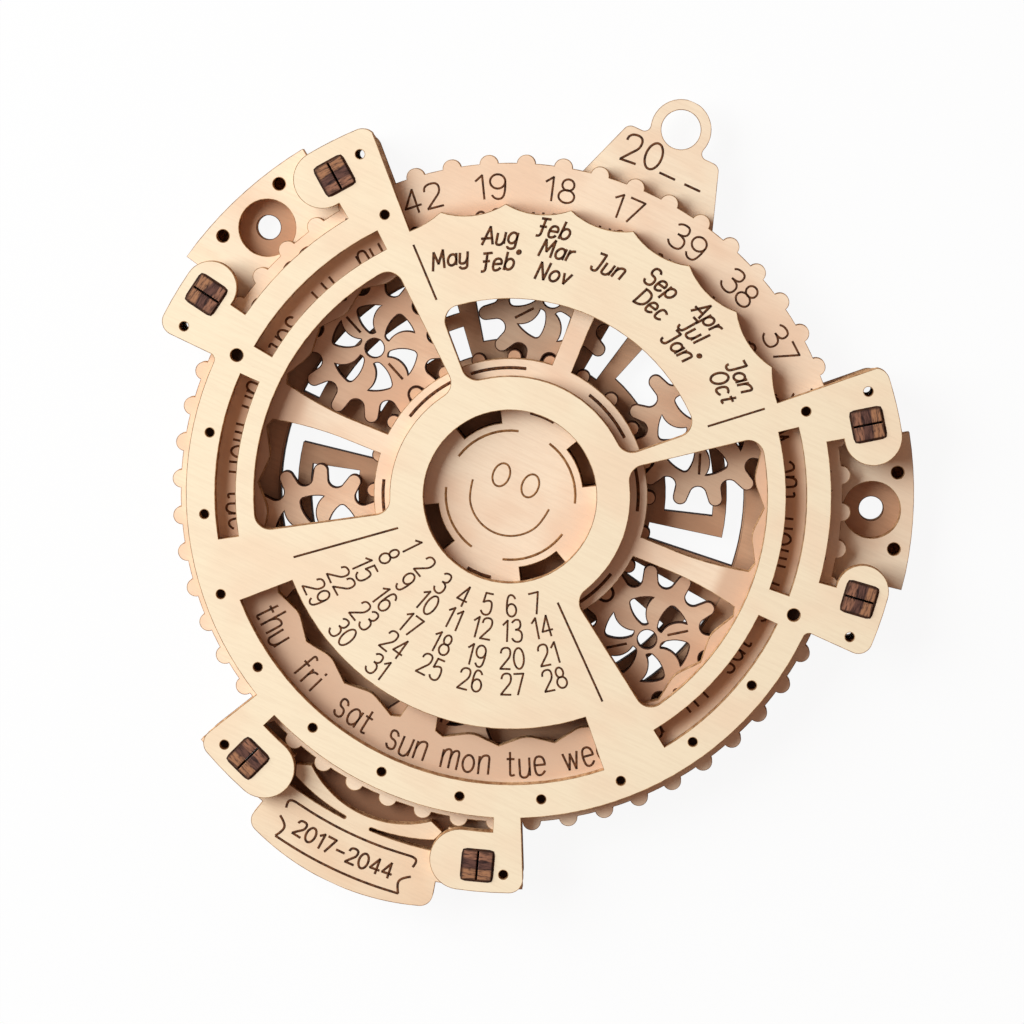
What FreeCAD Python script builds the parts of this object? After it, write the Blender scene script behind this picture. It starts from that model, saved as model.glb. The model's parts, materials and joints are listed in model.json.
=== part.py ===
import FreeCAD, Part
import math
import os

# Perpetual desk calendar cut from sheets of plywood, lying on its back.
# The origin is on the dial's axis at the rear face. +Y runs from the axis to
# the hanging ring and +Z comes out of the face that is read. All lengths are
# millimetres and all angles are degrees, counted from +X towards +Y.

# Sheets, from the back: rear plate, gear frame, dial, front plate
ply = 3.0                    # thickness of one sheet
slide_gap = 0.15             # air between faces that rub when the dial turns
slip_thickness = 0.3         # thin ring that carries the planets round
overrun = 1.0                # how far a cut runs past the sheet
bore_fit = 0.05              # radial play of the sun gear on its boss
inset = 0.2                  # hidden sheets stand back behind visible ones
inset_deg = 0.2              # the same at the ends of the lobes
point_gap = 0.002            # points nearer than this are one point

rear_z = 0.0
gear_z = rear_z + ply
dial_z = gear_z + ply
front_z = dial_z + ply
stack_top = front_z + ply

# Main directions round the dial
up_deg = 90.0
down_deg = 270.0
quarter_deg = 90.0
step_deg = 360.0 / 28.0      # one year, one month column or one weekday
side_lobe_deg = 67.4         # side lobes, each way from the hanging ring
lobe_degs = {"left": up_deg + side_lobe_deg, "right": up_deg - side_lobe_deg}

# Gears: a sun on the dial, six loose planets and an inside ring of teeth.
# Their size sets the radius of every sheet.
tooth_size = 2.23            # pitch diameter for each tooth
sun_teeth = 24
planet_teeth = 12
ring_teeth = sun_teeth + 2 * planet_teeth
sun_pitch_r = tooth_size * sun_teeth / 2.0
planet_pitch_r = tooth_size * planet_teeth / 2.0
ring_pitch_r = tooth_size * ring_teeth / 2.0
planet_path_r = sun_pitch_r + planet_pitch_r
sun_reach = 2.24             # finger tips beyond the pitch circle
planet_reach = 1.62
ring_reach = 1.8
root_gap = 0.35              # air between a finger tip and the opposite root
sun_root_r = sun_pitch_r - planet_reach - root_gap
planet_root_r = planet_pitch_r - sun_reach - root_gap
ring_root_r = planet_path_r + planet_pitch_r + planet_reach + root_gap
ring_tip_r = ring_pitch_r - ring_reach
foot_step = 0.9              # height of the round root between two fingers
finger_tip_half = 1.35
finger_foot_half = 1.55
ring_finger_tip_half = 1.2
sun_start_deg = 8.5
ring_start_deg = 4.0 + 180.0 / ring_teeth
planet_degs = (43.0, 103.0, 158.0, 218.0, 278.0, 338.0)
planet_teeth_on = (0, -2, 2, -2, 0, -2)    # teeth each planet was put in round by
planet_hole_r = 2.0
leaf_hub = 1.2               # planet between its hole and its six leaf windows
leaf_wall = 2.1              # planet between a leaf's outer end and the finger roots
leaf_count = 6
leaf_in_r = planet_hole_r + leaf_hub
leaf_out_r = planet_root_r - leaf_wall
leaf_root_degs = (-17.0, 8.0)              # inner end of a leaf
leaf_root_bow = 0.3
leaf_bulge_deg = 17.0
leaf_side_deg = 14.3         # the outer end's round corner starts here
leaf_side_step = 0.8         # and this far inside the outer end
leaf_corner_deg = 11.9
leaf_corner_step = 0.25
leaf_shoulder_deg = 7.0
leaf_hook_deg = -22.0
leaf_hollow_deg = -10.5

# Year dial and the boss that its gear turns on
frame_wall = 8.01            # gear frame and rear plate outside the ring's finger roots
dial_lip = 2.8               # dial beyond the sheets behind it
frame_rim_r = ring_root_r + frame_wall
dial_rim_r = frame_rim_r + dial_lip
bump_count = 56
bump_height = 1.7
bump_half_width = 1.8
bump_top_r = dial_rim_r + bump_height
band_width = 15.4            # year and weekday band where it is narrow
band_wave = 1.8              # depth of the steps along its inner edge
band_shoulder = 0.22         # from the crest of a step to its straight sides
band_shoulder_deg = 1.6
band_cusp_r = dial_rim_r - band_width
band_crest_r = band_cusp_r - band_wave
band_shoulder_r = band_crest_r + band_shoulder
hub_rim = 0.64               # dial's hub beyond the sun's pitch circle
dial_hub_r = sun_pitch_r + hub_rim
dial_deg = up_deg + 2.9       # the dial stands a little past the year's mark
spoke_count = 4
spoke_half_width = 2.0
spoke_straight = 8.6         # straight foot of a spoke, outside the hub
spoke_root = 1.6             # spoke inside the band
spoke_flare_half_width = 4.4
spoke_bow = 0.5
spoke_waist_r = dial_hub_r + spoke_straight
spoke_end_r = band_cusp_r + spoke_root
boss_r = 12.0
slot_wall = 2.5              # between the boss and the four finger slots
slot_width = 4.5
slot_in_r = boss_r + slot_wall
slot_out_r = slot_in_r + slot_width
slot_half_deg = 16.5
slot_show = 2.9              # the part of a slot inside the front plate's hole
hub_hole_r = slot_in_r + slot_show
slit_width = 0.4
face_slit_step = 1.5         # inwards from the slots to the slits round the face
face_slit_r = slot_in_r - face_slit_step
face_slit_half_deg = 30.0
grip_slit_step = 0.1         # from the front plate's hole to the grip slits
grip_slit_r = hub_hole_r - grip_slit_step
grip_slit_half_deg = 8.5
grip_slit_width = 0.8
hub_slit_step = 1.8          # from the hub's edge to the slits along it
hub_slit_r = dial_hub_r - hub_slit_step
hub_slit_half_deg = 12.5
hub_slit_degs = (27.5, 61.5)

# Front plate
front_step = 1.4             # the dial's rim shows this far outside the plate
front_rim_r = dial_rim_r - front_step
month_half_deg = 45.6        # the dial shows between these two arms
month_edge_step = 6.7        # from the rim to the points of the month edge
month_wave = 1.8
month_peak_r = front_rim_r - month_edge_step
month_valley_r = month_peak_r - month_wave
month_count = 7
month_band = 16.8            # sheet that carries the months
hub_band = 6.6               # sheet round the hole in the middle
window_in_r = hub_hole_r + hub_band
top_window_out_r = month_valley_r - month_band
top_window_half_deg = 45.5
window_corner_r = 3.2
corner_share = 0.4           # a corner takes at most this share of its window's depth
trace_rim = 5.7              # rim outside the four narrow windows over the weekdays
trace_width = 4.2
trace_wall = 3.6             # between narrow and large windows
trace_out_r = front_rim_r - trace_rim
trace_in_r = trace_out_r - trace_width
trace_degs = ((141.3, 174.6), (180.4, 213.5))
side_window_out_r = trace_in_r - trace_wall
side_window_degs = (141.4, 213.0)
day_rim = 6.7                # rim outside the window over the seven weekdays in use
day_width = 11.4
day_out_r = front_rim_r - day_rim
day_in_r = day_out_r - day_width
day_half_deg = 43.9
dot_edge = 3.5               # from the rim to the middle of a small burnt dot
dot_path_r = front_rim_r - dot_edge
dot_r = 1.0
dot_wide_r = 1.35
dot_depth = 2.0
dot_step_deg = 15.4
dot_pair_count = 6
dot_arm_deg = 131.2

# Lobes that hold the four sheets together. Each side lobe has an upper ear,
# on the hanging ring's side, and a lower ear.
wing_gap = 0.6               # air between the dial's bumps and the ears' spacers
upper_ear_depth = 10.4
lower_ear_depth = 9.4
low_ear_depth = 11.6
spacer_in_r = bump_top_r + wing_gap
upper_ear_out_r = spacer_in_r + upper_ear_depth
lower_ear_out_r = spacer_in_r + lower_ear_depth
low_ear_out_r = spacer_in_r + low_ear_depth
ear_lap = 0.4                # the side ears' round ends over the bumps
ear_in_r = bump_top_r - ear_lap
low_ear_in_r = bump_top_r
ear_out_deg = 22.0
upper_ear_in_deg = 11.9
lower_ear_in_deg = 12.6
ear_corner_r = 2.8
ear_root_fillet = 1.3
notch_depth = 0.9            # the rim is cut back between the ears of a side lobe
lobe_notch_r = front_rim_r - notch_depth
upper_notch_deg = 12.4
lower_notch_deg = 13.1
low_ear_out_deg = 26.8
low_ear_in_deg = 17.1
low_notch_deg = 22.05
peg_wall = 1.1               # spacer inside a side peg
low_peg_wall = 2.3           # ear outside a low peg
peg_r = spacer_in_r + peg_wall + ply
peg_deg = 13.9
low_peg_r = low_ear_out_r - low_peg_wall - ply
low_peg_deg = 19.9
peg_proud = 0.3
pin_hole_r = 1.0
upper_pin_step = 1.6         # pin holes lie this far outside the pegs' path
lower_pin_step = 0.7
low_pin_step = 1.6
upper_pin_path_r = peg_r + upper_pin_step
upper_pin_deg = 18.9
lower_pin_path_r = peg_r + lower_pin_step
lower_pin_deg = 20.0
low_pin_path_r = low_peg_r + low_pin_step
low_pin_deg = 23.9

# Side lobes and hanging tab of the gear frame
lobe_proud = 1.7             # the lobe's middle stands out beyond its upper ear
lobe_plate_r = upper_ear_out_r + lobe_proud
lobe_plate_deg = 11.35
eye_r = 5.8                  # large eye with a screw hole behind it
eye_wall = 2.5
eye_path_r = lobe_plate_r - eye_wall - eye_r
screw_hole_r = 2.5
stud_hole_r = 1.35
stud_wall = 1.75
stud_path_r = lobe_plate_r - stud_wall - stud_hole_r
stud_deg = 5.7
tab_half_foot = 15.2
tab_half_top = 9.9
tab_root = 1.5               # tab inside the rim
tab_height = 15.0
tab_foot_y = frame_rim_r - tab_root
tab_top_y = tab_foot_y + tab_height
tab_corner_r = 1.6
ring_rise = 3.4              # from the tab's top to the hanging ring's middle
ring_wall = 2.0
ring_hole_r = 4.0
ring_outer_r = ring_hole_r + ring_wall
ring_y = tab_top_y + ring_rise
ring_root_x = math.sqrt(ring_outer_r ** 2 - ring_rise ** 2)
ring_root_fillet = 1.3

# Slip ring under the planets, inside the ring gear's finger tips
slip_edge = 0.72
slip_width = 3.8
slip_out_r = ring_tip_r - slip_edge
slip_in_r = slip_out_r - slip_width

# Rear plate: framed windows inside an outer gap, held by four bars
slip_ledge = 0.4             # rear plate inside the slip ring that lies on it
rear_gap_width = 3.5
rear_bar_width = 2.6
rear_hub_rim = 1.0           # rear hub beyond the dial's hub
arm_step = 6.5               # from the rear hub to the arms between two frames
arm_width = 2.8
rear_window_r = slip_in_r - slip_ledge
rear_gap_r = rear_window_r - rear_gap_width
rear_bar_r = rear_gap_r - rear_bar_width
rear_hub_r = dial_hub_r + rear_hub_rim
rear_foot_r = rear_hub_r + rear_bar_width
arm_in_r = rear_hub_r + arm_step
arm_out_r = arm_in_r + arm_width
rear_bar_deg = 5.4
rear_gap_deg = 6.5
rear_frames = (((13.0, 78.2),), ((91.0, 131.0), (137.5, 179.0)),
               ((191.3, 255.0),), ((268.0, 305.0), (311.5, 349.5)))
rear_open_right = (True, False, True, False)
rear_open_left = (True, False, True, True)

# Detent plate with its label and double spring. Steps of the spring are
# counted outwards from the tops of the dial's bumps.
spring_gap = 0.15            # air between the spring tips and the bumps
spring_mid_step = 3.6
spring_end_step = 1.8
spring_heel_step = 3.7
spring_back_step = 4.7
spring_neck_step = 5.2
label_step = 6.0
label_depth = 11.2           # label at its ends
label_bow = 1.7              # rise of its outer edge
spring_tip_r = bump_top_r + spring_gap
spring_mid_r = bump_top_r + spring_mid_step
spring_end_r = bump_top_r + spring_end_step
spring_heel_r = bump_top_r + spring_heel_step
spring_back_r = bump_top_r + spring_back_step
spring_neck_r = bump_top_r + spring_neck_step
label_in_r = bump_top_r + label_step
label_end_r = label_in_r + label_depth
label_out_r = label_end_r + label_bow
label_half_deg = 13.9
label_corner_r = 2.6
spring_tip_deg = 11.3
spring_end_deg = 13.4
spring_heel_deg = 12.4
spring_neck_deg = 2.3
wing_in_deg = 14.4

ear_out_rs = {"upper": upper_ear_out_r, "lower": lower_ear_out_r}
ear_in_degs = {"upper": upper_ear_in_deg, "lower": lower_ear_in_deg}
notch_degs = {"upper": upper_notch_deg, "lower": lower_notch_deg}
dial_thickness = ply - 2 * slide_gap


def at(radius, deg, z=0.0):
    """Point at a radius and an angle."""
    turn = math.radians(deg)
    return FreeCAD.Vector(radius * math.cos(turn), radius * math.sin(turn), z)


def local(along, across, deg, z=0.0):
    """Point given along and across the direction deg."""
    turn = math.radians(deg)
    x = along * math.cos(turn) - across * math.sin(turn)
    y = along * math.sin(turn) + across * math.cos(turn)
    return FreeCAD.Vector(x, y, z)


def line(start, end):
    return Part.makeLine(start, end)


def arc(start, middle, end):
    return Part.Arc(start, middle, end).toShape()


def slab(edges, z, height):
    """Solid that an outline fills from z up through height."""
    wire = Part.Wire(Part.__sortEdges__(edges))
    face = Part.Face(wire)
    solid = face.extrude(FreeCAD.Vector(0, 0, height))
    solid.translate(FreeCAD.Vector(0, 0, z))
    return solid


def round_slab(radius, z, height, centre=FreeCAD.Vector(0, 0, 0)):
    return Part.makeCylinder(radius, height, centre + FreeCAD.Vector(0, 0, z))


def sector(in_r, out_r, deg_a, deg_b, z, height):
    """Solid between two radii and two angles."""
    mid = (deg_a + deg_b) / 2.0
    edges = [
        arc(at(out_r, deg_a), at(out_r, mid), at(out_r, deg_b)),
        line(at(out_r, deg_b), at(in_r, deg_b)),
        arc(at(in_r, deg_b), at(in_r, mid), at(in_r, deg_a)),
        line(at(in_r, deg_a), at(out_r, deg_a)),
    ]
    return slab(edges, z, height)


def upright(solid, keep):
    """Edges of a solid that stand along Z and whose place passes keep."""
    chosen = []
    for edge in solid.Edges:
        first = edge.Vertexes[0].Point
        last = edge.Vertexes[-1].Point
        flat = math.hypot(first.x - last.x, first.y - last.y)
        if flat < point_gap and keep(math.hypot(first.x, first.y)):
            chosen.append(edge)
    return chosen


def standing_at(solid, point):
    """Upright edges of a solid that stand at one point of its plan."""
    chosen = []
    for edge in upright(solid, lambda r: True):
        foot = edge.Vertexes[0].Point
        if math.hypot(foot.x - point.x, foot.y - point.y) < inset:
            chosen.append(edge)
    return chosen


def rounded(solid, radius, keep=lambda r: True):
    """The solid with its chosen upright edges rounded."""
    return solid.makeFillet(radius, upright(solid, keep))


def cut_all(solid, tools):
    return solid.cut(Part.Compound(tools)).removeSplitter()


def join_all(solids):
    return solids[0].fuse(solids[1:]).removeSplitter()


def mirrored(pair):
    """A pair of angles on the other side of the up axis."""
    return (2 * up_deg - pair[1], 2 * up_deg - pair[0])


def peg_sites():
    """Radius and direction of every peg."""
    sites = []
    for middle in lobe_degs.values():
        sites.append((peg_r, middle + peg_deg))
        sites.append((peg_r, middle - peg_deg))
    sites.append((low_peg_r, down_deg - low_peg_deg))
    sites.append((low_peg_r, down_deg + low_peg_deg))
    return sites


def peg_holes(z, height):
    """Square cuts that the pegs fill, through one layer."""
    holes = []
    for radius, deg in peg_sites():
        corners = [local(radius + ply * i, ply * j, deg)
                   for i, j in ((1, 1), (-1, 1), (-1, -1), (1, -1))]
        edges = [line(corners[i - 1], corners[i]) for i in range(4)]
        holes.append(slab(edges, z - overrun, height + 2 * overrun))
    return holes


def side_ears():
    """Name, lobe middle, side and level of each ear of the side lobes."""
    ears = []
    for name, middle in lobe_degs.items():
        upwards = 1 if middle < up_deg else -1
        ears.append((name + "_upper", middle, upwards, "upper"))
        ears.append((name + "_lower", middle, -upwards, "lower"))
    return ears


def pin_holes(z, height):
    """Small holes beside the pegs of the side lobes."""
    sites = {"upper": (upper_pin_path_r, upper_pin_deg), "lower": (lower_pin_path_r, lower_pin_deg)}
    holes = []
    for name, middle, side, level in side_ears():
        radius, deg = sites[level]
        centre = at(radius, middle + side * deg)
        holes.append(round_slab(pin_hole_r, z - overrun, height + 2 * overrun, centre))
    return holes


def low_pin_holes(z, height):
    holes = []
    for side in (-1, 1):
        centre = at(low_pin_path_r, down_deg + side * low_pin_deg)
        holes.append(round_slab(pin_hole_r, z, height, centre))
    return holes


def ear(middle, side, in_r, out_r, root_r, out_deg, in_deg, corner, z, height):
    """One ear: a block with a round end that looks at the lobe's middle."""
    near = middle + side * in_deg
    far = middle + side * out_deg
    block = sector(root_r, out_r, min(near, far), max(near, far), z, height)
    block = block.makeFillet(corner, standing_at(block, at(out_r, far)))
    half = (out_r - in_r) / 2.0
    end = round_slab(half, z, height, at(in_r + half, near))
    return block, end


def gear_window(out_r, deg_a, deg_b, z, height):
    """Large window with round corners over the gears."""
    window = sector(window_in_r, out_r, deg_a, deg_b, z, height)
    return rounded(window, min(window_corner_r, corner_share * (out_r - window_in_r)))


def front_plate():
    """Top sheet with the months, the dates and the reading windows."""
    z = front_z
    plate = round_slab(front_rim_r, z, ply)
    ears = []
    for name, middle, side, level in side_ears():
        ears += ear(middle, side, ear_in_r, ear_out_rs[level], lobe_notch_r, ear_out_deg,
                    ear_in_degs[level], ear_corner_r, z, ply)
    for side in (-1, 1):
        ears += ear(down_deg, side, low_ear_in_r, low_ear_out_r, front_rim_r - overrun,
                    low_ear_out_deg, low_ear_in_deg, ear_corner_r, z, ply)
    plate = join_all([plate] + ears)
    for name, middle, side, level in side_ears():
        if level == "lower":
            root = at(front_rim_r, middle + side * ear_out_deg)
            plate = plate.makeFillet(ear_root_fillet, standing_at(plate, root))
    cut_z = z - overrun
    cut_h = ply + 2 * overrun
    cuts = [month_edge_cut(cut_z, cut_h), round_slab(hub_hole_r, cut_z, cut_h)]
    for name, middle, side, level in side_ears():
        end = middle + side * notch_degs[level]
        cuts.append(sector(lobe_notch_r, ear_in_r, min(middle, end), max(middle, end),
                           cut_z, cut_h))
    cuts.append(sector(front_rim_r, low_ear_in_r, down_deg - low_notch_deg,
                       down_deg + low_notch_deg, cut_z, cut_h))
    cuts.append(gear_window(top_window_out_r, up_deg - top_window_half_deg,
                            up_deg + top_window_half_deg, cut_z, cut_h))
    for pair in (side_window_degs, mirrored(side_window_degs)):
        cuts.append(gear_window(side_window_out_r, pair[0], pair[1], cut_z, cut_h))
    for pair in trace_degs:
        for span in (pair, mirrored(pair)):
            cuts.append(sector(trace_in_r, trace_out_r, span[0], span[1], cut_z, cut_h))
    cuts.append(sector(day_in_r, day_out_r, down_deg - day_half_deg,
                       down_deg + day_half_deg, cut_z, cut_h))
    plate = cut_all(plate, cuts + peg_holes(z, ply) + pin_holes(z, ply))
    return cut_all(plate, rim_dots() + low_pin_holes(stack_top - dot_depth, dot_depth + overrun))


def month_edge_cut(z, height):
    """Everything outside the month sector: its edge has a point at each month."""
    first = up_deg - month_half_deg
    last = up_deg + month_half_deg
    beyond = upper_ear_out_r + overrun
    cusps = [up_deg + (i - month_count // 2) * step_deg for i in range(month_count)]
    edges = []
    for i in range(month_count - 1):
        middle = (cusps[i] + cusps[i + 1]) / 2.0
        edges.append(arc(at(month_peak_r, cusps[i]), at(month_valley_r, middle),
                         at(month_peak_r, cusps[i + 1])))
    for cusp, limit in ((cusps[0], first), (cusps[-1], last)):
        quarter_r = (3 * month_valley_r + month_peak_r) / 4.0
        edges.append(arc(at(month_peak_r, cusp), at(quarter_r, (cusp + limit) / 2.0),
                         at(month_valley_r, limit)))
        edges.append(line(at(month_valley_r, limit), at(beyond, limit)))
    edges.append(arc(at(beyond, first), at(beyond, up_deg), at(beyond, last)))
    return slab(edges, z, height)


def rim_dots():
    """Burnt dots along the rim, cut part of the way into the sheet."""
    places = [(down_deg + i * dot_step_deg, dot_r) for i in range(1 - dot_pair_count, dot_pair_count)]
    for side in (-1, 1):
        places.append((down_deg + side * dot_pair_count * dot_step_deg, dot_wide_r))
        places.append((down_deg + side * dot_arm_deg, dot_r))
    return [round_slab(radius, stack_top - dot_depth, dot_depth + overrun, at(dot_path_r, deg))
            for deg, radius in places]


def band_edge(z, height):
    """Inside of the dial's band, with a point between weekdays."""
    edges = []
    count = round(360.0 / step_deg)
    for i in range(count):
        crest = dial_deg + i * step_deg
        before = at(band_shoulder_r, crest - band_shoulder_deg)
        after = at(band_shoulder_r, crest + band_shoulder_deg)
        edges.append(line(at(band_cusp_r, crest - step_deg / 2.0), before))
        edges.append(arc(before, at(band_crest_r, crest), after))
        edges.append(line(after, at(band_cusp_r, crest + step_deg / 2.0)))
    return slab(edges, z, height)


def dial_outline(z, height):
    """Round dial with a row of bumps on its rim."""
    pitch = 360.0 / bump_count
    half = math.degrees(bump_half_width / dial_rim_r)
    edges = []
    for i in range(bump_count):
        centre = dial_deg + i * pitch
        edges.append(arc(at(dial_rim_r, centre - half), at(bump_top_r, centre),
                         at(dial_rim_r, centre + half)))
        edges.append(arc(at(dial_rim_r, centre + half), at(dial_rim_r, centre + pitch / 2.0),
                         at(dial_rim_r, centre + pitch - half)))
    return slab(edges, z, height)


def dial_spoke(deg, z, height):
    """Spoke with a straight foot that flares towards the band."""
    foot_r = dial_hub_r - overrun
    bow_r = (spoke_waist_r + spoke_end_r) / 2.0
    bow_half = (spoke_half_width + spoke_flare_half_width) / 2.0 - spoke_bow
    edges = []
    for side in (-1, 1):
        foot = local(foot_r, side * spoke_half_width, deg)
        waist = local(spoke_waist_r, side * spoke_half_width, deg)
        flare = local(spoke_end_r, side * spoke_flare_half_width, deg)
        edges.append(line(foot, waist))
        edges.append(arc(waist, local(bow_r, side * bow_half, deg), flare))
    edges.append(line(local(foot_r, -spoke_half_width, deg),
                      local(foot_r, spoke_half_width, deg)))
    edges.append(line(local(spoke_end_r, -spoke_flare_half_width, deg),
                      local(spoke_end_r, spoke_flare_half_width, deg)))
    return slab(edges, z, height)


def finger_slots(z, height):
    """Four arc slots that dial and sun gear share."""
    slots = []
    for i in range(spoke_count):
        middle = dial_deg + quarter_deg * (i + 0.5)
        slots.append(sector(slot_in_r, slot_out_r, middle - slot_half_deg,
                            middle + slot_half_deg, z - overrun, height + 2 * overrun))
    return slots


def arc_slit(radius, width, middle, half_deg, z, height):
    return sector(radius - width / 2.0, radius + width / 2.0, middle - half_deg,
                  middle + half_deg, z - overrun, height + 2 * overrun)


def year_disc():
    """Dial with the years and weekdays: band, four spokes and slotted hub."""
    z = dial_z + slide_gap
    height = dial_thickness
    band = dial_outline(z, height).cut(band_edge(z - overrun, height + 2 * overrun))
    hub = round_slab(dial_hub_r, z, height)
    spokes = [dial_spoke(dial_deg + quarter_deg * i, z, height) for i in range(spoke_count)]
    disc = join_all([band, hub] + spokes)
    cuts = finger_slots(z, height)
    for i in range(spoke_count):
        quarter = dial_deg + quarter_deg * i
        middle = quarter + quarter_deg / 2.0
        cuts.append(arc_slit(face_slit_r, slit_width, middle, face_slit_half_deg, z, height))
        for deg in hub_slit_degs:
            cuts.append(arc_slit(hub_slit_r, slit_width, quarter + deg, hub_slit_half_deg,
                                 z, height))
    for middle in (dial_deg, dial_deg + 2 * quarter_deg):
        cuts.append(arc_slit(grip_slit_r, grip_slit_width, middle, grip_slit_half_deg,
                             z, height))
    return cut_all(disc, cuts)


def fingers(teeth, root_r, tip_r, tip_half, foot_half, start_deg, z, height):
    """Gear outline of round-ended fingers; root_r above tip_r points them inwards."""
    way = 1.0 if tip_r > root_r else -1.0
    pitch = 360.0 / teeth
    foot_r = root_r + way * foot_step
    base_r = tip_r - way * tip_half
    edges = []
    for i in range(teeth):
        deg = start_deg + i * pitch
        foot_a = local(foot_r, -foot_half, deg)
        foot_b = local(foot_r, foot_half, deg)
        base_a = local(base_r, -tip_half, deg)
        base_b = local(base_r, tip_half, deg)
        edges.append(line(foot_a, base_a))
        edges.append(arc(base_a, at(tip_r, deg), base_b))
        edges.append(line(base_b, foot_b))
        edges.append(arc(foot_b, at(root_r, deg + pitch / 2.0),
                         local(foot_r, -foot_half, deg + pitch)))
    return slab(edges, z, height)


def sun_gear():
    """Drive gear glued under the dial; it runs on the centre boss."""
    z = gear_z + slide_gap
    gear = fingers(sun_teeth, sun_root_r, sun_pitch_r + sun_reach, finger_tip_half,
                   finger_foot_half, sun_start_deg, z, ply)
    bore = round_slab(boss_r + bore_fit, z - overrun, ply + 2 * overrun)
    return cut_all(gear, [bore] + finger_slots(z, ply))


def leaf(deg, z, height):
    """Window like a fin: narrow at its inner end, hooked at its outer end."""
    first, last = (at(leaf_in_r, deg + root_deg) for root_deg in leaf_root_degs)
    root = at(leaf_in_r - leaf_root_bow, deg + sum(leaf_root_degs) / 2.0)
    side = at(leaf_out_r - leaf_side_step, deg + leaf_side_deg)
    corner = at(leaf_out_r - leaf_corner_step, deg + leaf_corner_deg)
    shoulder = at(leaf_out_r, deg + leaf_shoulder_deg)
    hook = at(leaf_out_r, deg + leaf_hook_deg)
    middle_r = (leaf_in_r + leaf_out_r) / 2.0
    edges = [
        arc(first, root, last),
        arc(last, at(middle_r, deg + leaf_bulge_deg), side),
        arc(side, corner, shoulder),
        arc(shoulder, at(leaf_out_r, deg), hook),
        arc(hook, at(middle_r, deg + leaf_hollow_deg), first),
    ]
    return slab(edges, z, height)


def planet_tooth_deg(path_deg):
    """Direction of one finger of a planet that meshes with sun and ring."""
    past_sun_tooth = path_deg - sun_start_deg
    return path_deg + past_sun_tooth * sun_teeth / planet_teeth + 180.0 / planet_teeth


def planet_gear(path_deg, teeth_on):
    """Loose planet with six leaf windows and an open centre."""
    z = gear_z + slip_thickness + slide_gap
    height = ply - slip_thickness - slide_gap
    tooth_deg = planet_tooth_deg(path_deg)
    pitch = 360.0 / planet_teeth
    gear = fingers(planet_teeth, planet_root_r, planet_pitch_r + planet_reach,
                   finger_tip_half, finger_foot_half, tooth_deg, z, height)
    cuts = [round_slab(planet_hole_r, z - overrun, height + 2 * overrun)]
    for i in range(leaf_count):
        leaf_deg = tooth_deg + pitch * (teeth_on + 0.5) + i * 360.0 / leaf_count
        cuts.append(leaf(leaf_deg, z - overrun, height + 2 * overrun))
    gear = cut_all(gear, cuts)
    gear.translate(at(planet_path_r, path_deg))
    return gear


def lobe_blocks(z, height):
    """Blocks that carry a hidden sheet out under the three lobes."""
    root_r = frame_rim_r - overrun
    out_r = lower_ear_out_r - inset
    half_deg = ear_out_deg - inset_deg
    blocks = []
    for middle in lobe_degs.values():
        block = sector(root_r, out_r, middle - half_deg, middle + half_deg, z, height)
        blocks.append(rounded(block, ear_corner_r, lambda r: r > out_r - inset))
    low_out_r = low_ear_out_r - inset
    low_half_deg = low_ear_out_deg - inset_deg
    low = sector(root_r, low_out_r, down_deg - low_half_deg, down_deg + low_half_deg, z, height)
    blocks.append(rounded(low, ear_corner_r, lambda r: r > low_out_r - inset))
    return blocks


def lobe_middles(back, back_deg, z, height):
    """Middle blocks of the side lobes, that far back from their full size."""
    half_deg = lobe_plate_deg - back_deg
    return [sector(frame_rim_r, lobe_plate_r - back, middle - half_deg, middle + half_deg,
                   z, height) for middle in lobe_degs.values()]


def hanging_tab(z, height):
    """Shield behind the dial that ends in the hanging ring."""
    corners = [
        FreeCAD.Vector(-tab_half_foot, tab_foot_y, 0),
        FreeCAD.Vector(tab_half_foot, tab_foot_y, 0),
        FreeCAD.Vector(tab_half_top, tab_top_y, 0),
        FreeCAD.Vector(-tab_half_top, tab_top_y, 0),
    ]
    shield = slab([line(corners[i - 1], corners[i]) for i in range(4)], z, height)
    top_edges = [e for e in upright(shield, lambda r: True)
                 if e.Vertexes[0].Point.y > tab_top_y - inset]
    shield = shield.makeFillet(tab_corner_r, top_edges)
    ring = round_slab(ring_outer_r, z, height, FreeCAD.Vector(0, ring_y, 0))
    return [shield, ring]


def gear_frame():
    """Second sheet: inside ring of teeth, side lobes and hanging tab."""
    z = gear_z
    rim = round_slab(frame_rim_r, z, ply)
    blocks = lobe_blocks(z, ply) + lobe_middles(0.0, 0.0, z, ply)
    plate = join_all([rim] + blocks + hanging_tab(z, ply))
    for side in (-1, 1):
        root = FreeCAD.Vector(side * ring_root_x, tab_top_y, 0)
        plate = plate.makeFillet(ring_root_fillet, standing_at(plate, root))
    cut_z = z - overrun
    cut_h = ply + 2 * overrun
    teeth = fingers(ring_teeth, ring_root_r, ring_tip_r, ring_finger_tip_half,
                    finger_foot_half, ring_start_deg, cut_z, cut_h)
    cuts = [teeth, round_slab(ring_hole_r, cut_z, cut_h, FreeCAD.Vector(0, ring_y, 0))]
    for middle in lobe_degs.values():
        cuts.append(round_slab(eye_r, cut_z, cut_h, at(eye_path_r, middle)))
        for side in (-1, 1):
            cuts.append(round_slab(stud_hole_r, cut_z, cut_h,
                                   at(stud_path_r, middle + side * stud_deg)))
    return cut_all(plate, cuts + peg_holes(z, ply) + pin_holes(z, ply))


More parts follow.
